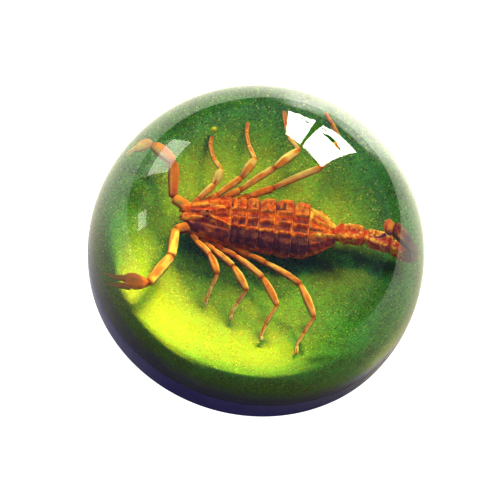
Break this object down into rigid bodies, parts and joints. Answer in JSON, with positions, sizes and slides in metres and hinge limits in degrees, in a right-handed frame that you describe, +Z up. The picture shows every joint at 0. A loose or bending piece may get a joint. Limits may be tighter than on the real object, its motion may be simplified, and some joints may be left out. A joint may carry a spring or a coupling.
{
  "type": "scorpion in resin dome",
  "caption": "Clear resin dome paperweight with a dried scorpion sealed over a green glitter layer and a dark blue base; rests flat as a desk ornament.",
  "frame": {"origin": "centre of the flat base, on the surface that the dome rests on", "axes": "+Z up along the dome's axis; the scorpion's head points along -X, its tail along +X and its right side along +Y"},
  "size_m": [0.07, 0.07, 0.0415],
  "materials": {
    "clear_resin": "clear polished casting resin",
    "glitter": "green resin with fine gold and green glitter",
    "base_resin": "polished dark blue resin",
    "shell": "dried amber and red-brown shell"
  },
  "bodies": {
    "root": {"base_layer": "base_resin", "glitter_layer": "glitter", "resin_lower_half": "clear_resin", "resin_upper_half": "clear_resin", "scorpion": "shell"}
  },
  "joints": []
}
